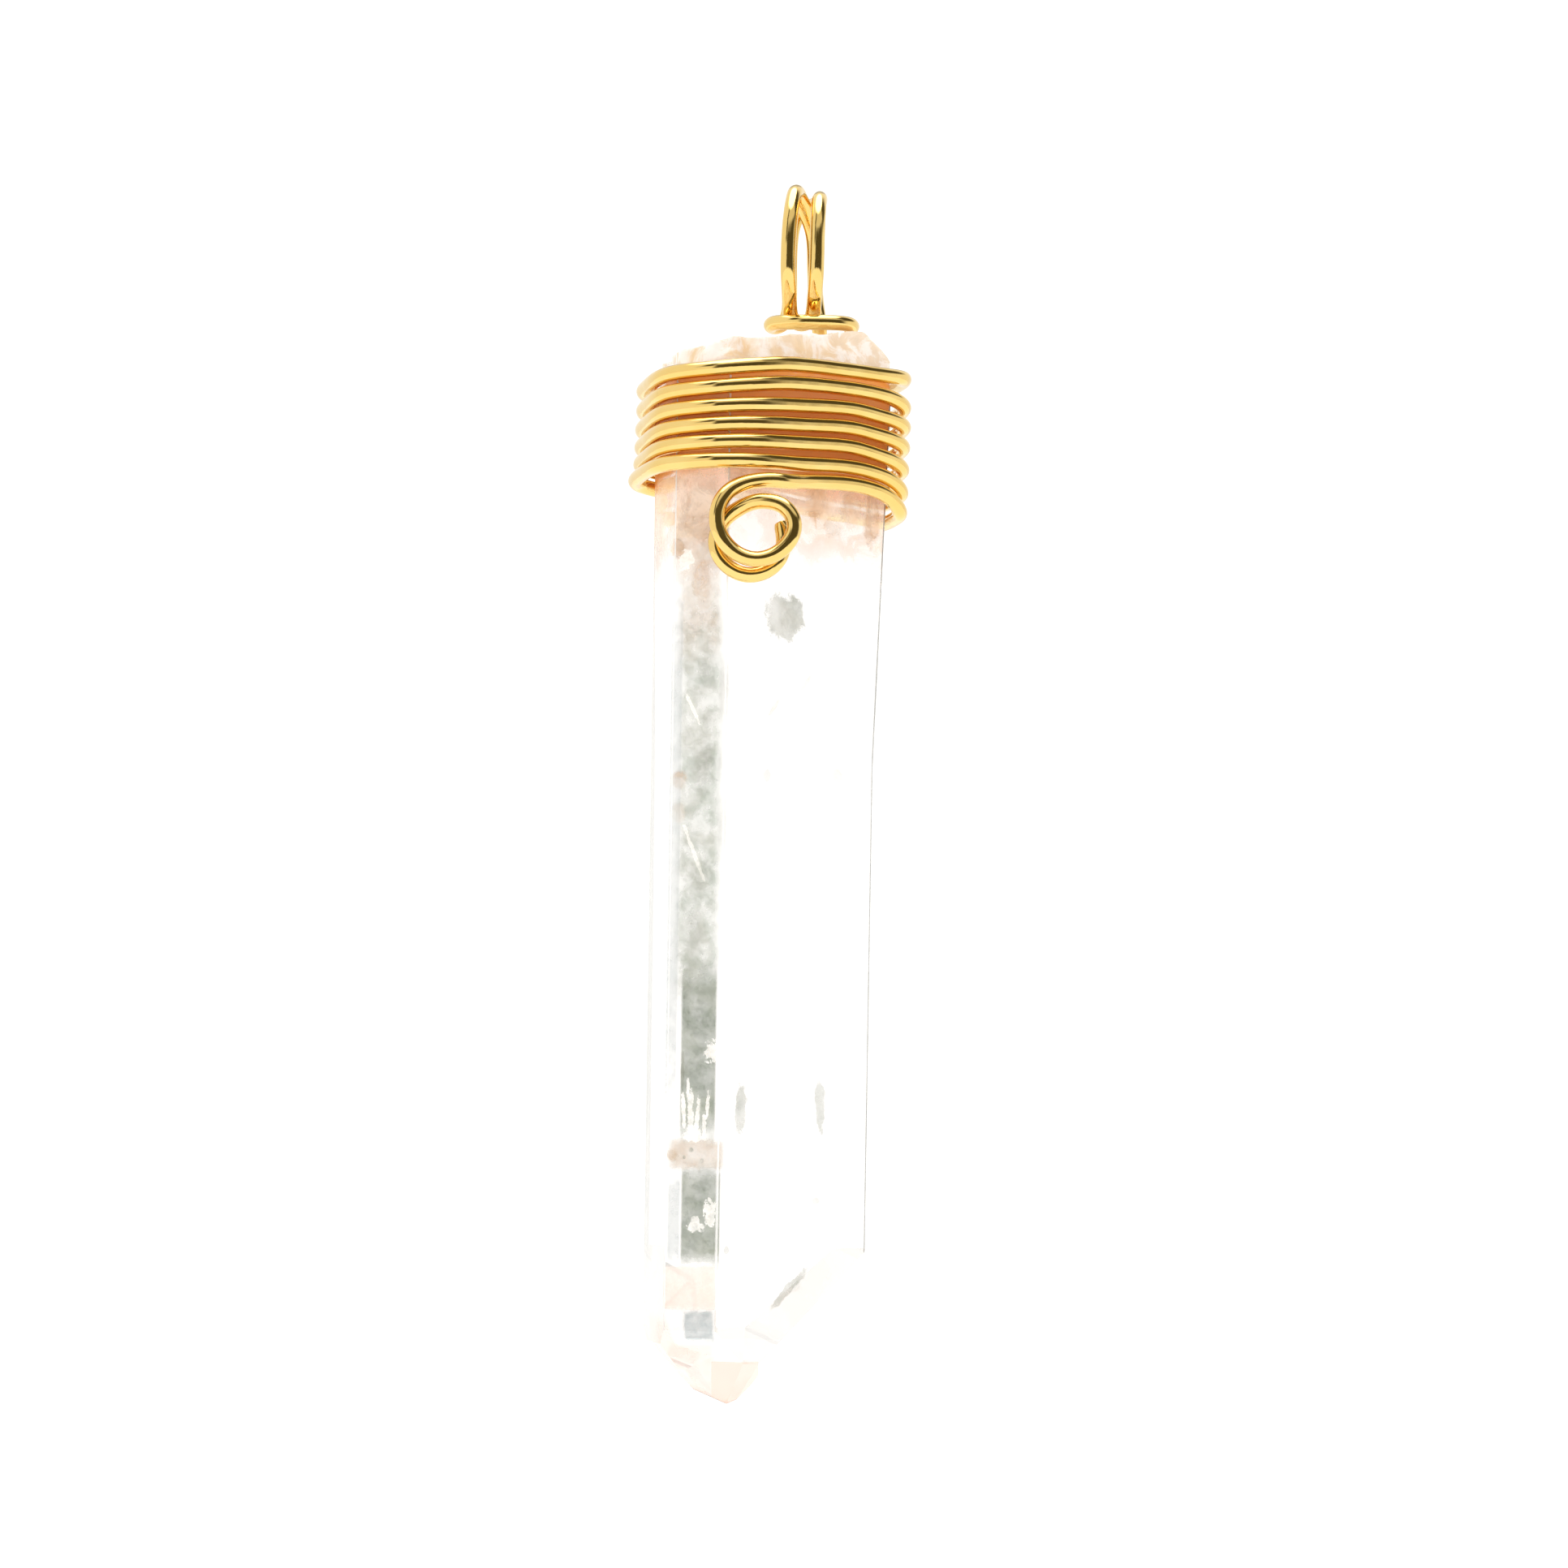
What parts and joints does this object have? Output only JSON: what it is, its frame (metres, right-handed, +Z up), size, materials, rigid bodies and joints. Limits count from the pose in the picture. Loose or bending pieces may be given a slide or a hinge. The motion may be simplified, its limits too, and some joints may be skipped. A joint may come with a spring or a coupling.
{
  "type": "crystal pendant",
  "caption": "Clear quartz point wrapped in gold-coloured wire, hung from a double wire bail with a scroll in front.",
  "frame": {"origin": "where the pendant hangs: inside the top of the lower of the bail's two loops", "axes": "+Z up, +Y from the viewer of the picture through the stone, +X to the viewer's right"},
  "size_m": [0.0148, 0.0165, 0.0638],
  "materials": {
    "quartz": "clear polished quartz with cloudy veils",
    "gold_wire": "polished gold-coloured plating"
  },
  "bodies": {
    "root": {"quartz_point": "quartz", "wrap_wire": "gold_wire", "bail": "gold_wire"}
  },
  "joints": []
}
